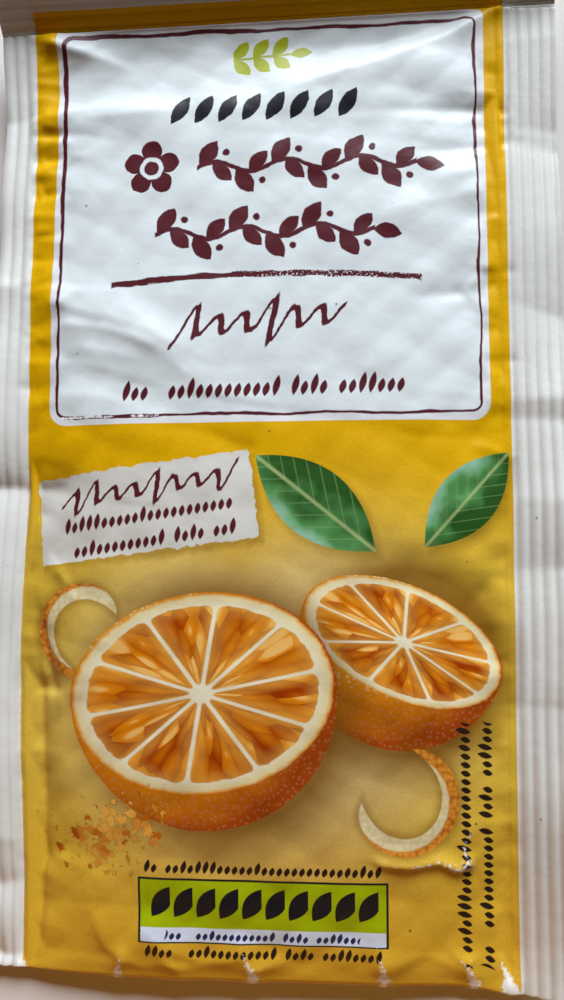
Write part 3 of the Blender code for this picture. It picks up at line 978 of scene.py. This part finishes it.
# Spacings of the materials' own grain, and how deep the foil's crinkles are
SCREEN, CRACKS, CRINKLES, DUST, FIBRE = 0.35, 0.55, 2.2, 9.0, 0.38462
CRINKLE_DEPTH = 0.05

# How uneven things are: the size of the waves, their detail and their reach
FRAME_SHAKE = (7.6923, 3.0, 1.0)
HAND_SHAKE = (1.25, 2.0, 0.35)
TORN_EDGE = (1.3, 3.0, 0.9)

MAROON = "#561D26"
NIGHT = "#1A1C22"
BARE = "#DEDFDA"
PAPER = "#E4E7E8"
PANEL = "#DFE8E9"


def field(add, place):
    """The golden field between the bare edges, lighter and dustier behind the picture."""
    along = add("SeparateXYZ", place).outputs["Y"]
    cloud = add("TexNoise 2D", place, 1 / 22.0, 2.0)
    down = add("Math MULTIPLY_ADD", cloud, 16.0, along)
    low = add("MapRange", down, 80.0, 58.0, interpolation_type="SMOOTHSTEP")
    colour = add("Mix RGBA", low, "#E3AF03", "#DDB83C")
    haze = add("VectorMath DISTANCE", place, (-2.0, 36.0, 0))
    haze = add("MapRange", haze, 36.0, 14.0, 0.0, 0.7, interpolation_type="SMOOTHSTEP")
    haze = add("Math MULTIPLY", haze, low)
    colour = add("Mix RGBA", haze, colour, "#D6BC88")
    colour = shaded(add, along, (26.0, 6.0), colour, "#DFB031", 0.85)
    # the gravure screen, drawn twice as coarse as a real one so that it shows
    screen = add("TexNoise 2D", place, 1 / SCREEN, 1.0)
    colour = shaded(add, screen, (0.35, 0.65), colour, "#8A5A00", 0.10)
    middle = ((FIELD_LEFT + FIELD_RIGHT) / 2, 0)
    edge = card(add, place, middle, (FIELD_RIGHT - FIELD_LEFT, 2 * FIELD_TOP), 0.1)
    return printed(add, BARE, colour, edge, 0.06)


def brush_line(add, place, hand, across, along):
    """Distance to the bowed line under the title, from a brush that runs dry towards the right."""
    bow = add("Math MULTIPLY_ADD", across, 1 / 22.0, 1.2 / 22.0)
    bow = add("Math MULTIPLY", bow, bow)
    bow = add("Math MULTIPLY_ADD", bow, 1.1, -96.0)
    bristle = add("VectorMath MULTIPLY", hand, (0.35, 1.6, 0))
    bristle = add("TexNoise 2D", bristle, 1.0, 2.0)
    bristle = add("MapRange", bristle, 0.30, 0.75, 0.58, 0.26)
    line = add("Math ADD", along, bow)
    line = beyond(add, line, bristle)
    dry = add("TexNoise 2D", place, 1 / 0.32, 2.0, 0.6)
    dry = add("MapRange", dry, 0.56, 0.72, 0.0, 0.6)
    spent = add("MapRange", across, -8.0, 2.0)
    dry = add("Math MULTIPLY", dry, spent)
    line = add("Math ADD", line, dry)
    return add("Math MAXIMUM", line, beyond(add, across, 21.9, -1.2))


def upper_print(add, place):
    """White panel in a hand-drawn line, with a sprig, a leaf row, a garland and a flourish."""
    split = add("SeparateXYZ", place).outputs
    across, along = split["X"], split["Y"]
    colour = field(add, place)
    colour = printed(add, colour, PAPER, card(add, place, PANEL_MIDDLE, PANEL_SIZE, 2.6))
    drawn, noise = shaken(add, place, *FRAME_SHAKE)
    inside = card(add, drawn, OUTLINE_MIDDLE, OUTLINE_SIZE, 1.5)
    colour = printed(add, colour, PANEL, inside)
    weight = add("MapRange", noise, 0.35, 0.65, 0.15, 0.28)
    corner = add("Math MULTIPLY_ADD", across, -0.8, along)
    corner = add("MapRange", corner, 115.0, 155.0, 0.0, 0.16)
    outline = beyond(add, inside, weight)
    outline = add("Math SUBTRACT", outline, corner)

    hand = shaken(add, place, *HAND_SHAKE)[0]
    title = joined(
        add,
        blossom(add, hand, (-17.6, 112.3), 4.1),
        vine(add, hand, (-10.9, 112.0), 6, 5.2),
        vine(add, hand, (-16.9, 102.2), 6, 5.2),
    )
    title = add("Math MULTIPLY", title, TITLE_SCALE)
    colour = printed(add, colour, MAROON, title, 0.07)

    # leaf row and sprig above the title
    row = leaf_row(add, hand, (-1.4, 120.7), 3.45, 4.0, (0.12, -0.55), 58, 1.42, 0.62)
    colour = printed(add, colour, NIGHT, row, 0.02)
    colour = printed(add, colour, "#A9B322", sprig(add, hand, (-6.0, 128.6), 4))

    # brush line, flourish and small ornament under the title
    line = brush_line(add, place, hand, across, along)
    sweep = flourish(add, hand, (-1.8, 89.2), 4, 23.4, 3.6, 1.9, 0.70)
    marks = grains(add, place, (-1.4, 79.9), 1, 39.6, 3.0, 1.32)
    return printed(add, colour, MAROON, joined(add, outline, line, sweep, marks), 0.07)


def lower_print(add, place):
    """Label, citrus, leaves and zest over the field, and the green box at the foot."""
    colour = field(add, place)
    colour = green_leaf(add, colour, place, (14.0, 57.0), 141, 21.0, 9.5)
    colour = green_leaf(add, colour, place, (20.5, 57.5), 48, 17.5, 8.0)
    colour = zest_strip(add, colour, place, (-25.5, 46.5), 5.6, 150, 125, 2.3)
    colour = citrus(add, colour, place, (17.5, 45.0), 14.2, -24, 0.52, 20, 9)
    colour = citrus(add, colour, place, (-9.5, 38.0), 18.2, 9, 0.74, 4, 10)
    colour = zest_strip(add, colour, place, (17.0, 24.0), 6.2, -50, 130, 2.4)
    colour = grated_peel(add, colour, place, (-22.0, 19.0), (10.5, 5.5))

    # torn label
    hand = shaken(add, place, *HAND_SHAKE)[0]
    torn = shaken(add, place, *TORN_EDGE)[0]
    shade = seen_from(add, torn, (-17.2, 62.4), LABEL_LEAN)[0]
    colour = printed(add, colour, "#8C6416", card(add, shade, (0, 0), LABEL_SIZE, 0.3), 0.7, 0.7)
    label = seen_from(add, torn, (-17.7, 63.1), LABEL_LEAN)[0]
    colour = printed(add, colour, "#D6D4CB", card(add, label, (0, 0), LABEL_SIZE, 0.3))
    words = flourish(add, hand, (-17.4, 65.9), 8.3, 24.6, 2.9, 1.3, 0.52)
    lines = grains(add, place, (-17.0, 60.6), 8.3, 24.2, 2.3, 1.1, 2, 3.5)
    colour = printed(add, colour, MAROON, joined(add, words, lines), 0.07)

    # box at the foot, with its strip and small print
    colour = printed(add, colour, NIGHT, card(add, place, (-1.6, 9.0), (33.6, 8.8), 0.1))
    colour = printed(add, colour, "#A9BE0A", card(add, place, (-1.6, 9.0), (33.0, 8.2), 0.1))
    row = leaf_row(add, place, (-1.6, 10.2), 3.1, 5.0, (0.18, -0.68), 56, 1.62, 0.80)
    colour = printed(add, colour, NIGHT, row, 0.02)
    colour = printed(add, colour, "#DCEAFF", card(add, place, (-1.6, 5.75), (32.9, 1.9), 0.05))
    strip = grains(add, place, (-1.6, 5.75), 0, 26.1, 1.45, 0.9)
    colour = printed(add, colour, "#26305C", strip)
    words = grains(add, place, (-1.6, 9.2), 0, 32.0, 1.8, 1.0, 2, 11.4)
    aside = grains(add, place, (26.8, 18.5), 90, 31.9, 2.1, 1.1, 2, 3.0)
    return printed(add, colour, "#2E2018", joined(add, words, aside))


def back_print(add, place):
    """A white panel with rows of small marks on the golden field."""
    colour = field(add, place)
    colour = printed(add, colour, PAPER, card(add, place, (-1.4, -70.0), (58.0, 112.0), 2.6))
    rows = grains(add, place, (-1.4, -70.0), 0, 50.4, 1.6, 0.9, 30, 3.4)
    return printed(add, colour, "#3A2A22", rows)


def empty_material(name):
    """A material with an empty tree, and the function that adds a node to it."""
    material = bpy.data.materials.new(name)
    material.use_nodes = True
    material.node_tree.nodes.clear()
    return material, partial(put, material.node_tree)


def laminated_paper(name, artwork):
    """Laminated paper: clay-coated, gravure printed and satin varnished, over foil.

    The varnish gives soft broad highlights, the foil keeps every crease, and where a sharp
    fold has cracked the ink the bare white paper shows.
    """
    material, add = empty_material("laminated_paper_" + name)
    place = add("UVMap", uv_map="web")
    colour = artwork(add, place)

    # the ink cracks along the paper's fibres, half a millimetre long
    wear = add("Attribute", attribute_name="wear").outputs["Fac"]
    crack = add("TexNoise 2D", place, 1 / CRACKS, 4.0, 0.7)
    crack = add("Math MULTIPLY_ADD", crack, 1.6, wear)
    colour = shaded(add, crack, (1.40, 1.66), colour, "#F2F2F0")

    # a few specks of dust, and the fine crinkles of the foil
    speck = add("TexVoronoi 2D", place, 1 / DUST).outputs
    chance = add("SeparateXYZ", speck["Color"]).outputs["X"]
    size = add("MapRange", chance, 0.75, 1.0, 0.0, 0.02)
    speck = add("Math SUBTRACT", speck["Distance"], size)
    colour = printed(add, colour, "#3A2C22", speck, 0.006, 0.7)
    crinkle = add("TexNoise 2D", place, 1 / CRINKLES, 2.0, 0.5)
    bump = add("Bump", 1.0, CRINKLE_DEPTH * MM, 1.0, crinkle)

    shader = add("BsdfPrincipled", colour)
    shader.inputs["Roughness"].default_value = 0.36
    shader.inputs["Specular IOR Level"].default_value = 0.20
    material.node_tree.links.new(bump.outputs["Normal"], shader.inputs["Normal"])
    add("OutputMaterial", shader)
    return material


def cut_paper_edge():
    """The same paper where the knife cut it: a bare white fibrous core, which looks dull."""
    material, add = empty_material("cut_paper_edge")
    place = add("TexCoord").outputs["Object"]
    fibre = add("TexNoise 3D", place, 1 / (FIBRE * MM), 3.0)
    colour = add("Mix RGBA", fibre, "#D8D6D0", "#B9B4AA")
    shader = add("BsdfPrincipled", colour)
    shader.inputs["Roughness"].default_value = 0.85
    add("OutputMaterial", shader)
    return material


# --- floor, light and camera -------------------------------------------------------------

def lamp(name, place, aim, size, power, colour):
    """A soft rectangular lamp that faces a point."""
    light = bpy.data.lights.new(name, "AREA")
    light.shape = "RECTANGLE"
    light.size, light.size_y = size
    light.energy = power
    light.color = ink(colour)[:3]
    made = bpy.data.objects.new(name, light)
    made.location = place
    away = np.array(place) - np.array(aim)
    level = math.hypot(away[0], away[1])
    made.rotation_euler = (math.atan2(level, away[2]), 0, math.atan2(away[0], -away[1]))
    bpy.context.collection.objects.link(made)


def studio():
    """A pale floor, a broad lamp beyond the pack's top, a faint warm one on the other side."""
    reach = 1.5
    corners = [(-reach, -reach, 0), (reach, -reach, 0), (reach, reach, 0), (-reach, reach, 0)]
    mesh = bpy.data.meshes.new("floor")
    mesh.from_pydata(corners, [], [(0, 1, 2, 3)])
    floor = bpy.data.objects.new("floor", mesh)
    bpy.context.collection.objects.link(floor)
    matt = bpy.data.materials.new("matt_board")
    matt.use_nodes = True
    shader = matt.node_tree.nodes["Principled BSDF"]
    shader.inputs["Base Color"].default_value = ink("#DCD8D2")
    shader.inputs["Roughness"].default_value = 0.9
    mesh.materials.append(matt)

    world = bpy.data.worlds.new("studio")
    world.use_nodes = True
    back = world.node_tree.nodes["Background"]
    back.inputs["Color"].default_value = ink("#F6F4F2")
    back.inputs["Strength"].default_value = 0.012
    bpy.context.scene.world = world
    lamp("window", (0.14, 0.73, 0.40), (0, 0.03, 0), (0.58, 0.33), 13.5, "#F3F8FF")
    lamp("room", (-0.18, -0.22, 0.13), (0, -0.04, 0), (0.14, 0.10), 0.080, "#FF9C50")
    lamp("table", (0.01, -0.135, 0.06), (0.01, -0.12, 0), (0.12, 0.05), 0.022, "#FFB440")


def camera():
    """Close above the pack, tipped a few degrees, nearest its lower right corner."""
    data = bpy.data.cameras.new("camera")
    data.lens = 32.4
    data.sensor_width = 36.0
    data.clip_start = 0.005
    eye = bpy.data.objects.new("camera", data)
    across, along, high = 12.19, 53.89, 127.4
    eye.location = (across * MM, (along + FOLD_Y) * MM, high * MM)
    eye.rotation_euler = tuple(math.radians(a) for a in (4.748, 5.11, -0.085))
    bpy.context.collection.objects.link(eye)
    bpy.context.scene.camera = eye


# --- assembly ----------------------------------------------------------------------------

web = ribbed(web_object(), {
    "Upper": laminated_paper("upper", upper_print),
    "Lower": laminated_paper("lower", lower_print),
    "Back": laminated_paper("back", back_print),
    "Edge": cut_paper_edge(),
})
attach(web, "root")
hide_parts("sachet")
studio()
camera()
bpy.context.scene.view_settings.view_transform = "Standard"
